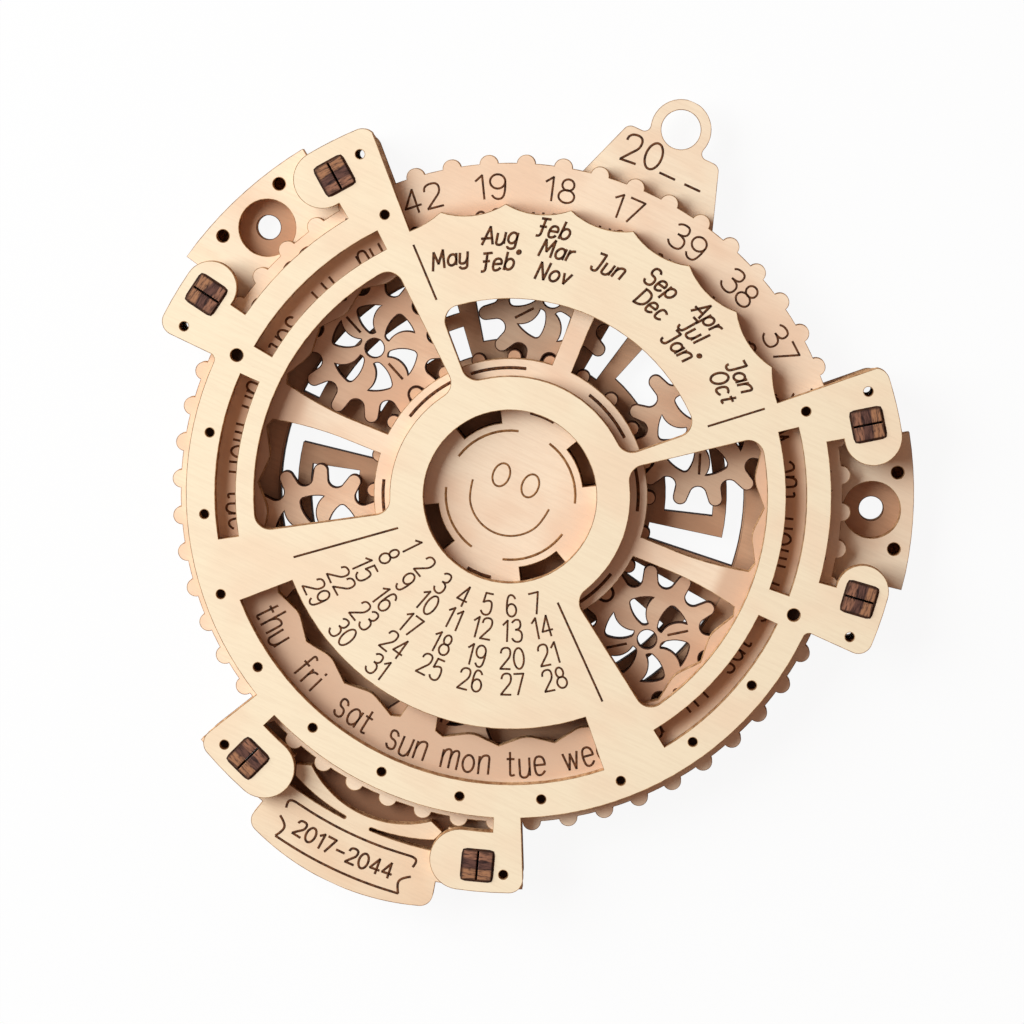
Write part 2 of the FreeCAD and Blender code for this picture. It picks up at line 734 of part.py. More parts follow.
def rear_cuts(z, height):
    """Framed windows and the gaps round them, group by group."""
    cuts = []
    for group, frames in enumerate(rear_frames):
        first = frames[0][0] - (rear_gap_deg if rear_open_right[group] else 0.0)
        last = frames[-1][1] + (rear_gap_deg if rear_open_left[group] else 0.0)
        cuts.append(sector(rear_gap_r, rear_window_r, first, last, z, height))
        if rear_open_right[group]:
            cuts.append(sector(rear_hub_r, rear_window_r, first, frames[0][0], z, height))
        if rear_open_left[group]:
            cuts.append(sector(rear_hub_r, rear_window_r, frames[-1][1], last, z, height))
        for start, end in frames:
            cuts.append(sector(rear_foot_r, rear_bar_r, start + rear_bar_deg,
                               end - rear_bar_deg, z, height))
        for i in range(len(frames) - 1):
            gap = (frames[i][1], frames[i + 1][0])
            cuts.append(sector(rear_hub_r, arm_in_r, gap[0], gap[1], z, height))
            cuts.append(sector(arm_out_r, rear_window_r, gap[0], gap[1], z, height))
    return cuts


def rear_plate():
    """Back sheet that the calendar lies on or is screwed to a wall by."""
    z = rear_z
    rim = round_slab(frame_rim_r, z, ply)
    plate = join_all([rim] + lobe_blocks(z, ply) + lobe_middles(inset, inset_deg, z, ply))
    cut_z = z - overrun
    cut_h = ply + 2 * overrun
    cuts = rear_cuts(cut_z, cut_h)
    for middle in lobe_degs.values():
        cuts.append(round_slab(screw_hole_r, cut_z, cut_h, at(eye_path_r, middle)))
    return cut_all(plate, cuts + peg_holes(z, ply) + pin_holes(z, ply))


def centre_boss():
    """Round block on the rear plate that the sun gear turns on."""
    return round_slab(boss_r, gear_z, ply)


def slip_ring():
    """Thin ring between rear plate and planets; it goes round with them."""
    ring = round_slab(slip_out_r, gear_z, slip_thickness)
    return cut_all(ring, [round_slab(slip_in_r, gear_z - overrun, slip_thickness + 2 * overrun)])


def ear_spacer(middle, side, level):
    """Block between gear frame and front plate under one side ear."""
    block, end = ear(middle, side, spacer_in_r, ear_out_rs[level] - inset, spacer_in_r,
                     ear_out_deg - inset_deg, ear_in_degs[level], ear_corner_r, dial_z, ply)
    spacer = join_all([block, end])
    return cut_all(spacer, peg_holes(dial_z, ply) + pin_holes(dial_z, ply))


def spring_outline(z, height):
    """Neck and two curved arms whose tips sit beside the dial's bumps."""
    left = down_deg - spring_tip_deg
    right = down_deg + spring_tip_deg
    edges = [arc(at(spring_tip_r, left), at(spring_mid_r, down_deg), at(spring_tip_r, right))]
    back_deg = (spring_neck_deg + spring_heel_deg) / 2.0
    for side, tip in ((-1, left), (1, right)):
        end = at(spring_end_r, down_deg + side * spring_end_deg)
        heel = at(spring_heel_r, down_deg + side * spring_heel_deg)
        neck_low = at(spring_neck_r, down_deg + side * spring_neck_deg)
        neck_high = at(label_in_r + overrun, down_deg + side * spring_neck_deg)
        edges.append(line(at(spring_tip_r, tip), end))
        edges.append(line(end, heel))
        edges.append(arc(heel, at(spring_back_r, down_deg + side * back_deg), neck_low))
        edges.append(line(neck_low, neck_high))
    edges.append(line(at(label_in_r + overrun, down_deg - spring_neck_deg),
                      at(label_in_r + overrun, down_deg + spring_neck_deg)))
    return slab(edges, z, height)


def label_block(z, height):
    """Label for the span of years, with a bowed outer edge."""
    left = down_deg - label_half_deg
    right = down_deg + label_half_deg
    block = slab([
        arc(at(label_end_r, left), at(label_out_r, down_deg), at(label_end_r, right)),
        line(at(label_end_r, right), at(label_in_r, right)),
        arc(at(label_in_r, right), at(label_in_r, down_deg), at(label_in_r, left)),
        line(at(label_in_r, left), at(label_end_r, left)),
    ], z, height)
    return rounded(block, label_corner_r, lambda r: r > label_end_r - inset)


def detent_plate():
    """Label at the foot, with the double spring and a wing under each low ear."""
    z = dial_z
    parts = [label_block(z, ply), spring_outline(z, ply)]
    for side in (-1, 1):
        near = down_deg + side * wing_in_deg
        far = down_deg + side * (low_ear_out_deg - inset_deg)
        join = down_deg + side * (label_half_deg - inset_deg)
        parts.append(sector(spacer_in_r, low_ear_out_r - inset, min(near, far),
                            max(near, far), z, ply))
        parts.append(sector(label_in_r, low_ear_out_r - inset, min(join, near),
                            max(join, near), z, ply))
    plate = join_all(parts)
    slot_end_r = (label_in_r - spring_neck_r) / 2.0
    ends = [round_slab(slot_end_r, z - overrun, ply + 2 * overrun,
                       at(spring_neck_r + slot_end_r, down_deg + side * spring_neck_deg))
            for side in (-1, 1)]
    return cut_all(plate, peg_holes(z, ply) + ends)


def peg(radius, deg):
    """Peg of two strips of sheet driven through all four layers."""
    height = stack_top - rear_z + peg_proud
    strips = []
    for side in (-1, 1):
        corners = [local(radius - ply, 0.0, deg), local(radius + ply, 0.0, deg),
                   local(radius + ply, side * ply, deg), local(radius - ply, side * ply, deg)]
        strips.append(slab([line(corners[i - 1], corners[i]) for i in range(4)], rear_z, height))
    return Part.Compound(strips)


def save(name, shape):
    shape.exportStep(os.path.join("parts", name + ".step"))
    box = shape.BoundBox
    print(name, "valid", shape.isValid(), "solids", len(shape.Solids),
          "volume", round(shape.Volume, 1),
          "z", round(box.ZMin, 2), round(box.ZMax, 2))


os.makedirs("parts", exist_ok=True)
save("front_plate", front_plate())
save("year_disc", year_disc())
save("sun_gear", sun_gear())
for number, (path_deg, teeth_on) in enumerate(zip(planet_degs, planet_teeth_on), 1):
    save("planet_gear_%d" % number, planet_gear(path_deg, teeth_on))
save("gear_frame", gear_frame())
save("rear_plate", rear_plate())
save("centre_boss", centre_boss())
save("slip_ring", slip_ring())
save("detent_plate", detent_plate())
for name, middle, side, level in side_ears():
    save(name + "_ear_spacer", ear_spacer(middle, side, level))
for number, (radius, deg) in enumerate(peg_sites(), 1):
    save("peg_%d" % number, peg(radius, deg))
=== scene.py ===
# %% [markdown]
# A perpetual desk calendar cut from plywood
#
# The object is a stack of four layers of laser-cut sheet, with six loose gears
# in the second and a year dial in the third. Its solids are exact already, so
# this lesson adds what a laser and a sheet of birch leave behind: pale faces
# with grain, burnt walls, a dark line along each cut edge, engraved letters
# and rough pegs. It also paints shade on the lower sheets, on deep walls and
# edges, in slits and in small holes.

# %% Load the solids
import json
import math

import bpy
from mathutils import Matrix, Vector

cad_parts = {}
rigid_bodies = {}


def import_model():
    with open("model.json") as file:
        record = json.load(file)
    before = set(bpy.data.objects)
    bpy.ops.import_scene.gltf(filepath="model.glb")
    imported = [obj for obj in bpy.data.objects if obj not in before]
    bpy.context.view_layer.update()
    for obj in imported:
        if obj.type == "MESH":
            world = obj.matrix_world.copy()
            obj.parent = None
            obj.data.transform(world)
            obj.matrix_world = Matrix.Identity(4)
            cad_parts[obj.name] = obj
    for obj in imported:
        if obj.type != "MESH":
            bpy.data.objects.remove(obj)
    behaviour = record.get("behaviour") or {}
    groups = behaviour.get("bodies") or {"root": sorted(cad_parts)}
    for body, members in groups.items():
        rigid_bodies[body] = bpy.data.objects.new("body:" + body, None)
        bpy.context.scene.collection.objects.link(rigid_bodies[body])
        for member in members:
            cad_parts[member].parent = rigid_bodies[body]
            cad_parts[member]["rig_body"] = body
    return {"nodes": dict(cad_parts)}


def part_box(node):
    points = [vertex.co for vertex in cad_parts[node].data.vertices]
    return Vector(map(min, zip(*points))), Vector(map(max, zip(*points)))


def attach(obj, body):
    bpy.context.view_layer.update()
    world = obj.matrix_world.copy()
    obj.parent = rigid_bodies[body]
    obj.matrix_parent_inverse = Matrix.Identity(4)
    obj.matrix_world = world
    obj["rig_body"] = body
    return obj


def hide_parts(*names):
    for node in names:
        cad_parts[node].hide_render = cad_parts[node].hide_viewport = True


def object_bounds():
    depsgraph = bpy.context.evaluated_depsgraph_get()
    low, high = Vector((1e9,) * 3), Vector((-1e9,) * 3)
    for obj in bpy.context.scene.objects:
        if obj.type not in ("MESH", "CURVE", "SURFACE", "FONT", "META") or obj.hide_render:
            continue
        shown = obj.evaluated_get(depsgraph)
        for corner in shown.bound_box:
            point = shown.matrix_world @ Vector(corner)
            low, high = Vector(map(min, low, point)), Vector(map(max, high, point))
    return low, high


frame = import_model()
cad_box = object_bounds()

MM = 0.001
nodes = frame["nodes"]
print(len(nodes), "solids, box", [round(v / MM, 1) for v in (*cad_box[0], *cad_box[1])])

# %% [markdown]
# Every sheet is three millimetres thick, and the engraving lies on the top
# faces. The heights are read from the solids, so that the letters always sit
# on the wood. Directions are counted from +X, and the hanging ring is at 90.

# %% Heights and directions
FRONT_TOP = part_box("front_plate")[1].z
DIAL_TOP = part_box("year_disc")[1].z
LABEL_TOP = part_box("detent_plate")[1].z
FRAME_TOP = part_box("gear_frame")[1].z
PLANET_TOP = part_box("planet_gear_1")[1].z
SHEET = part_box("rear_plate")[1].z
STEP = 360.0 / 28.0
DIAL_DEG = 92.9


def polar(radius, deg, z=0.0):
    """Point at a radius in millimetres and a direction; z is in metres."""
    turn = math.radians(deg)
    return Vector((radius * MM * math.cos(turn), radius * MM * math.sin(turn), z))


def only(obj):
    """Selects one object and nothing else."""
    bpy.ops.object.select_all(action="DESELECT")
    obj.select_set(True)
    bpy.context.view_layer.objects.active = obj


bpy.ops.object.select_all(action="DESELECT")
print("tops in mm", [round(z / MM, 2) for z in (FRONT_TOP, DIAL_TOP, LABEL_TOP, FRAME_TOP)])

# %% [markdown]
# The camera looks down on the calendar from above the hanging ring.
# It stands 800 mm above the front sheet: nearer, the lower sheets would slide
# too far out from under the upper ones, and farther they would hide.

# %% Camera
EYE = Vector((1.7, 81.3, 812.0)) * MM
AIM = Vector((1.7, -2.6, 12.0)) * MM
IMAGE_UP_DEG = 114.9
LENS = 141.6


def add_camera():
    """Camera with its own up direction, set through a rotation matrix."""
    bpy.ops.object.camera_add(location=EYE)
    camera = bpy.context.object
    back = (EYE - AIM).normalized()
    right = polar(1.0, IMAGE_UP_DEG).cross(back).normalized()
    up = back.cross(right)
    turned = Matrix((right, up, back)).transposed()
    camera.rotation_euler = turned.to_euler()
    camera.data.lens = LENS
    camera.data.clip_end = 10.0
    bpy.context.scene.camera = camera
    return camera


print("camera", add_camera().rotation_euler)

# %% [markdown]
# Shader sums are easier to read as Python. A Socket wraps one output, and
# adding or multiplying sockets adds the Math nodes. Recipe.node adds any other
# node: its settings first, then the values or links of its inputs.

# %% Shader sums
class Socket:
    """One output of a node, which Python sums can use."""

    def __init__(self, recipe, out):
        self.recipe = recipe
        self.out = out

    def math(self, operation, a, b=0.0):
        return self.recipe.node("Math", {"operation": operation}, {0: a, 1: b})

    def __add__(self, other):
        return self.math("ADD", self, other)

    def __sub__(self, other):
        return self.math("SUBTRACT", self, other)

    def __rsub__(self, other):
        return self.math("SUBTRACT", other, self)

    def __mul__(self, other):
        return self.math("MULTIPLY", self, other)

    def __truediv__(self, other):
        return self.math("DIVIDE", self, other)

    def __abs__(self):
        return self.math("ABSOLUTE", self)

    def above(self, limit):
        return self.math("GREATER_THAN", self, limit)

    def below(self, limit):
        return self.math("LESS_THAN", self, limit)

    def rise(self, low, high):
        """0 below low, 1 above high and a smooth step between them."""
        return self.recipe.node("MapRange", {"interpolation_type": "SMOOTHSTEP"},
                                {0: self, 1: low, 2: high})

    __radd__ = __add__
    __rmul__ = __mul__


class Recipe:
    """The nodes of one material."""

    def __init__(self, name):
        self.material = bpy.data.materials.new(name)
        self.material.use_nodes = True
        self.nodes = self.material.node_tree.nodes
        self.links = self.material.node_tree.links
        self.nodes.clear()

    def node(self, kind, settings=None, inputs=None, out=0):
        made = self.nodes.new("ShaderNode" + kind)
        for key, value in (settings or {}).items():
            setattr(made, key, value)
        for key, value in (inputs or {}).items():
            if isinstance(value, Socket):
                self.links.new(value.out, made.inputs[key])
            else:
                made.inputs[key].default_value = value
        return Socket(self, made.outputs[out]) if made.outputs else None

    def place(self):
        return self.node("TexCoord", out="Object")

    def part(self, vector, axis):
        return self.node("SeparateXYZ", inputs={0: vector}, out=axis)

    def distance(self, vector):
        """How far a place lies from the dial's axis."""
        flat = self.node("VectorMath", {"operation": "MULTIPLY"}, {0: vector, 1: (1, 1, 0)})
        return self.node("VectorMath", {"operation": "LENGTH"}, {0: flat}, out="Value")

    def spots(self, vector, scale, turn_deg=0.0, detail=3.0, roughness=0.55):
        """Noise with its own scale along each axis, in features per metre."""
        mapped = self.node("Mapping", inputs={
            "Vector": vector, "Rotation": (0, 0, math.radians(turn_deg)), "Scale": scale})
        return self.node("TexNoise", inputs={
            "Vector": mapped, "Scale": 1.0, "Detail": detail, "Roughness": roughness})

    def blend(self, factor, first, second):
        """Colour that goes from first at 0 to second at 1."""
        return self.node("Mix", {"data_type": "RGBA"},
                         {"Factor": factor, 6: first, 7: second}, out=2)

    def finish(self, colour, roughness, height, bump_mm):
        """Matt wood surface with this colour, roughness and bump."""
        bump = self.node("Bump", inputs={"Height": height, "Strength": 1.0,
                                         "Distance": bump_mm * MM})
        surface = self.node("BsdfPrincipled", inputs={
            "Base Color": colour, "Roughness": roughness, "Normal": bump,
            "Specular IOR Level": 0.25})
        self.node("OutputMaterial", inputs={"Surface": surface})
        return self.material


def tint(red, green, blue):
    """A colour written as 0 to 255 on a screen, as the shader wants it."""
    def linear(value):
        share = value / 255.0
        return share / 12.92 if share <= 0.04045 else ((share + 0.055) / 1.055) ** 2.4
    return (linear(red), linear(green), linear(blue), 1.0)


print("pale birch", [round(v, 3) for v in tint(251, 229, 196)])

# %% [markdown]
# Birch plywood is cream with faint streaks along the grain, darker specks and
# broad patches that are a little pinker. Where the laser has cut, the wall is
# burnt brown and shows the three plies as bands. One function makes them all:
# a mask from the surface's direction chooses the face or the wall, and heights
# below the top face are the floors of drilled dots, which are charred too.
#
# In the photo, three sheets look browner where others cover them than this
# light makes them. Whether that is shade, smoke or both can't be seen. Painted
# shade on their top faces makes up for it here, and its strength was set by
# comparing renders with the photo.

# %% Plywood
GOLDEN = (tint(150, 102, 62), tint(212, 170, 126))     # front sheet, dial, spacers
# The darker walls are burnt, and in part painted shade of the deep sheets.
SCORCHED_AND_SHADED = (tint(34, 18, 13), tint(70, 41, 30))        # walls of all other pieces
CHARRED = tint(46, 26, 17)       # floors of drilled dots
# Walls inside this radius take the darker tone, which is partly painted shade.
OUTSIDE = 61.0                   # walls beyond this radius lie open and are golden
PLY_SHARE = 1.0 / 6.0            # half of the middle ply, as a share of the sheet
PIT_SHARES = (0.05, 0.25)        # pits end this far off the two faces, in sheets
FLAT = 0.05 * MM
# Painted shade on the top faces where other sheets cover them: its colour and
# strength, and the two pairs of radii in mm between which it comes in and goes
# out. The gear frame's starts at the axis, and below FOOT_Y, under the label,
# the gear frame takes it too.
COVERED_SHADE = {
    "year_disc": (tint(216, 176, 146), 0.8, (43.5, 46.5), (57.0, 60.0)),
    "gear_frame": (tint(138, 98, 72), 1.0, (-2.0, -1.0), (61.0, 66.0)),
    "rear_plate": (tint(58, 33, 24), 1.0, (46.5, 48.5), (58.0, 62.0)),
}
FOOT_Y = (-66.0, -60.0)          # further down, the gear frame lies under the label


def darker(colour, share):
    return tuple(share * value for value in colour[:3]) + (1.0,)


def covered(wood, place, node):
    """How much painted shade a sheet takes on where others lie over it, from 0 to 1."""
    strength, comes, goes = COVERED_SHADE[node][1:]
    away = wood.distance(place) / MM
    ring = away.rise(*comes) * (1.0 - away.rise(*goes)) * strength
    if node != "gear_frame":
        return ring
    foot = 1.0 - (wood.part(place, "Y") / MM).rise(*FOOT_Y)
    return ring.math("MAXIMUM", ring, foot)


def plywood(name, pale, rosy, node, grain_deg, rosiness, walls):
    """Material of one sheet: face and wall colours and its own grain direction."""
    low, high = (corner.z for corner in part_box(node))
    wood = Recipe(name)
    place = wood.place()
    height = wood.part(place, "Z")
    facing = abs(wood.part(wood.node("NewGeometry", out="True Normal"), "Z"))
    streaks = wood.spots(place, (110, 1900, 900), grain_deg)
    pores = wood.spots(place, (450, 5200, 2500), grain_deg, detail=1.0)
    patches = wood.spots(place, (52, 80, 60), grain_deg + 20, detail=2.0)
    fine = streaks.rise(0.38, 0.68)
    specks = pores.rise(0.62, 0.78)
    warm = (patches + rosiness).rise(0.42, 0.72)
    shade = darker(rosy, 0.86)
    face = wood.blend(warm, pale, rosy)
    face = wood.blend(fine * 0.22 + specks * 0.25, face, shade)
    scorch = wood.spots(place, (900, 900, 60), detail=2.0)
    level = abs((height - low) / (high - low) - 0.5)
    middle_ply = level.below(PLY_SHARE)
    # Inner walls darker than open outer ones: burnt wood and partly painted shade.
    outside = wood.distance(place).above(OUTSIDE * MM)
    light, dark = (wood.blend(outside, walls[i], GOLDEN[i]) for i in (1, 0))
    wall = wood.blend(scorch.rise(0.3, 0.75), dark, light)
    wall = wood.blend(middle_ply * 0.3, wall, dark)
    pit = height.below(high - PIT_SHARES[1] * SHEET) * height.above(low + PIT_SHARES[0] * SHEET)
    is_face = facing.above(0.5)
    face = wood.blend(pit, face, CHARRED)
    # Painted shade on the top face where other sheets cover it.
    if node in COVERED_SHADE:
        top = height.above(high - FLAT)
        face = wood.blend(covered(wood, place, node) * top, face, COVERED_SHADE[node][0])
    colour = wood.blend(is_face, wall, face)
    rough = 0.8 - 0.22 * is_face + 0.1 * streaks
    relief = streaks * 0.6 + pores * 0.4
    return wood.finish(colour, rough, relief, 0.05)


CREAM = tint(252, 234, 203)
PEACH = tint(250, 221, 190)
# The rear sheet and the pieces on it are darker and browner than the upper sheets: partly the
# wood, partly painted shade of the sheets above.
REAR_PALE = tint(214, 170, 136)
REAR_ROSY = tint(194, 148, 116)
SHEETS = {
    "front_plate": (CREAM, tint(250, 225, 194), 20.0, 0.0, GOLDEN),
    "year_disc": (tint(252, 228, 200), tint(245, 211, 181), 65.0, 0.04, GOLDEN),
    "detent_plate": (tint(248, 225, 194), tint(243, 211, 178), 25.0, 0.05, SCORCHED_AND_SHADED),
    "gear_frame": (tint(251, 231, 203), tint(246, 216, 186), 65.0, 0.05, SCORCHED_AND_SHADED),
    "rear_plate": (REAR_PALE, REAR_ROSY, 110.0, 0.05, SCORCHED_AND_SHADED),
    "sun_gear": (tint(226, 186, 152), tint(210, 164, 130), 40.0, 0.05, SCORCHED_AND_SHADED),
    "slip_ring": (REAR_PALE, REAR_ROSY, 10.0, 0.05, SCORCHED_AND_SHADED),
    "centre_boss": (REAR_PALE, REAR_ROSY, 80.0, 0.05, SCORCHED_AND_SHADED),
}


def set_material(obj, material):
    """Puts one material in the object's slots."""
    if not obj.material_slots:
        obj.data.materials.append(material)
    for slot in obj.material_slots:
        slot.material = material


for node, (pale, rosy, *rest) in SHEETS.items():
    set_material(nodes[node], plywood(node + "_birch", pale, rosy, node, *rest))
print("sheets with a finish", len(SHEETS))

# %% [markdown]
# The grain of each of the six planets lies another way, and some are darker,
# as the photo shows them: partly browner wood, partly painted shade. The ear
# spacers take after the front sheet.

# %% Planets and spacers
GEAR_PALE = tint(244, 208, 176)
GEAR_ROSY = tint(226, 182, 150)
# How dark each planet is: browner wood and painted shade.
GEAR_TONE_AND_SHADE = (0.78, 0.66, 0.96, 1.0, 0.9, 0.88)
PLANETS = ["planet_gear_%d" % number for number in range(1, 7)]
SPACERS = [name for name in nodes if name.endswith("_ear_spacer")]
for turn, node in enumerate(PLANETS):
    pale, rosy = (darker(colour, GEAR_TONE_AND_SHADE[turn]) for colour in (GEAR_PALE, GEAR_ROSY))
    set_material(nodes[node], plywood(node + "_birch", pale, rosy, node, 35.0 + 53.0 * turn,
                                      0.05, SCORCHED_AND_SHADED))
for turn, node in enumerate(SPACERS):
    set_material(nodes[node], plywood(node + "_birch", CREAM, PEACH, node, 90.0 * turn, 0.0,
                                      GOLDEN))
print(len(PLANETS), "planets,", len(SPACERS), "spacers")

# %% [markdown]
# Engraving and burnt edges are the same finish: brown char that is darker
# where the laser dwelt. Small noise gives the lines their uneven depth.

# %% Char


def burnt(name, dark, light, grain_mm):
    """Charred line whose brown changes over a length given in millimetres."""
    char = Recipe(name)
    per_metre = 1.0 / (grain_mm * MM)
    dwell = char.spots(char.place(), (per_metre,) * 3, detail=2.0)
    colour = char.blend(dwell.rise(0.32, 0.68), dark, light)
    return char.finish(colour, 0.75 + 0.15 * dwell, dwell, 0.02)


# Engraved lines, and also painted shade laid over slits and small holes.
ENGRAVED_AND_SHADE = burnt("engraved_and_shade_line", tint(58, 31, 15), tint(112, 68, 38), 0.8)
FAINT = burnt("faint_line", tint(112, 72, 38), tint(158, 110, 66), 0.8)
EDGE = burnt("burnt_edge", tint(138, 96, 60), tint(196, 156, 114), 1.6)
# The dark bead of the deep sheets and gears is burnt edge and partly painted shade of their
# walls.
DARK_EDGE = burnt("dark_edge", tint(52, 29, 19), tint(96, 60, 42), 1.6)
print("char materials", ENGRAVED_AND_SHADE.name, FAINT.name, EDGE.name, DARK_EDGE.name)

# %% [markdown]
# The beam leaves a thin dark line along each cut edge. A copy of the solid is
# merged, its sharp edges that lie flat are kept, and everything else is
# deleted. What is left turns into a curve with a thin round section, and the
# curve into a mesh. A Bevel shader could draw the line without geometry, but
# an exported mesh wouldn't keep it. The line is pressed to within 0.02 mm of
# the sheet's faces, so that sheets which slide past each other stay free.

# %% Burnt edges
THIN_R = 0.065                   # radius of the line's section, in mm
BOLD_R = 0.11                    # the same for the gears, whose edges look bolder
BEAD_HEIGHT = 0.02 * MM          # how far a bead stands off its sheet's faces
SHARP_DEG = 55.0


def burnt_edges(node, radius, finish):
    """Thin charred bead along the flat sharp edges of one solid."""
    name = node + "_burnt_edges"
    piece = bpy.data.objects.new(name, nodes[node].data.copy())
    bpy.context.collection.objects.link(piece)
    piece.data.materials.clear()
    only(piece)
    bpy.ops.object.mode_set(mode="EDIT")
    bpy.ops.mesh.select_mode(type="EDGE")
    bpy.ops.mesh.select_all(action="SELECT")
    bpy.ops.mesh.remove_doubles(threshold=0.01 * MM)
    bpy.ops.mesh.select_all(action="DESELECT")
    bpy.ops.mesh.edges_select_sharp(sharpness=math.radians(SHARP_DEG))
    bpy.ops.object.mode_set(mode="OBJECT")
    points = piece.data.vertices
    for edge in piece.data.edges:
        start, end = (points[i].co.z for i in edge.vertices)
        edge.select = not (edge.select and abs(start - end) < FLAT)
    bpy.ops.object.mode_set(mode="EDIT")
    bpy.ops.mesh.delete(type="EDGE")
    bpy.ops.mesh.select_all(action="SELECT")
    bpy.ops.mesh.delete(type="ONLY_FACE")
    bpy.ops.object.mode_set(mode="OBJECT")
    bpy.ops.object.convert(target="CURVE")
    piece = bpy.context.object
    piece.data.bevel_depth = radius * MM
    piece.data.bevel_resolution = 0
    bpy.ops.object.convert(target="MESH")
    piece = bpy.context.object
    low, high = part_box(node)
    lowest, highest = max(low.z - BEAD_HEIGHT, cad_box[0].z), high.z + BEAD_HEIGHT
    for point in piece.data.vertices:
        for axis in range(2):
            point.co[axis] = min(max(point.co[axis], cad_box[0][axis]), cad_box[1][axis])
        point.co.z = min(max(point.co.z, lowest), highest)
    set_material(piece, finish)
    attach(piece, nodes[node]["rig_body"])
    return piece


BEADS = (
    (["front_plate", "year_disc", "gear_frame", "detent_plate"] + SPACERS, THIN_R, EDGE),
    (["rear_plate"], THIN_R, DARK_EDGE),
    (["sun_gear"] + PLANETS, BOLD_R, DARK_EDGE),
)
for group, radius, finish in BEADS:
    for node in group:
        edges = burnt_edges(node, radius, finish)
        print(edges.name, len(edges.data.polygons), "faces")

# %% [markdown]
# The lettering is drawn as a plotter would: each glyph is a few strokes on a
# grid where a capital is 1 high. A "line" stroke has corners, a "bow" is a
# smooth curve through its end points, and a "loop" is a closed smooth curve.
# A type face would give outlines of two edges, where the laser draws one.

# %% Glyphs


def oval(x, y, half_width, half_height):
    """Closed smooth stroke that touches the middle of eight sides."""
    reach = 1.0 / math.cos(math.pi / 8.0)
    corners = [math.pi * (i + 0.5) / 4.0 for i in range(8)]
    return ("loop", [(x + half_width * reach * math.cos(a), y + half_height * reach * math.sin(a))
                     for a in corners])


def line(*points):
    return ("line", points)


def bow(*points):
    return ("bow", points)


ROUND = oval(0.25, 0.31, 0.25, 0.31)
STEM = line((0.5, 0.62), (0.5, 0.0))
ARCH = bow((0.0, 0.34), (0.04, 0.64), (0.46, 0.72), (0.46, 0.36), (0.46, 0.0))
DIGITS = {
    "0": (0.60, [oval(0.30, 0.50, 0.30, 0.50)]),
    "1": (0.34, [line((0.04, 0.78), (0.30, 1.0), (0.30, 0.0))]),
    "2": (0.58, [bow((0.02, 0.74), (0.02, 1.0), (0.56, 1.04), (0.60, 0.62), (0.30, 0.32),
                     (0.0, 0.0)), line((0.0, 0.0), (0.58, 0.0))]),
    "3": (0.56, [bow((0.04, 0.88), (0.14, 1.03), (0.54, 1.03), (0.54, 0.56), (0.20, 0.55)),
                 bow((0.20, 0.55), (0.60, 0.56), (0.60, -0.02), (0.10, -0.05), (0.0, 0.16))]),
    "4": (0.60, [line((0.44, 0.0), (0.44, 1.0), (0.0, 0.28), (0.60, 0.28))]),
    "5": (0.56, [line((0.52, 1.0), (0.12, 1.0), (0.06, 0.54)),
                 bow((0.06, 0.54), (0.30, 0.68), (0.60, 0.62), (0.60, 0.0), (0.12, -0.07),
                     (0.0, 0.15))]),
    "6": (0.57, [oval(0.29, 0.30, 0.28, 0.30),
                 bow((0.52, 0.84), (0.44, 1.02), (0.12, 1.04), (0.01, 0.62), (0.01, 0.30))]),
    "7": (0.56, [line((0.0, 1.0), (0.56, 1.0), (0.18, 0.0))]),
    "8": (0.58, [oval(0.29, 0.76, 0.22, 0.24), oval(0.29, 0.27, 0.29, 0.27)]),
    "9": (0.57, [oval(0.28, 0.70, 0.28, 0.30),
                 bow((0.56, 0.70), (0.56, 0.38), (0.45, -0.04), (0.13, -0.04), (0.05, 0.14))]),
    "-": (0.60, [line((0.04, 0.46), (0.56, 0.46))]),
}
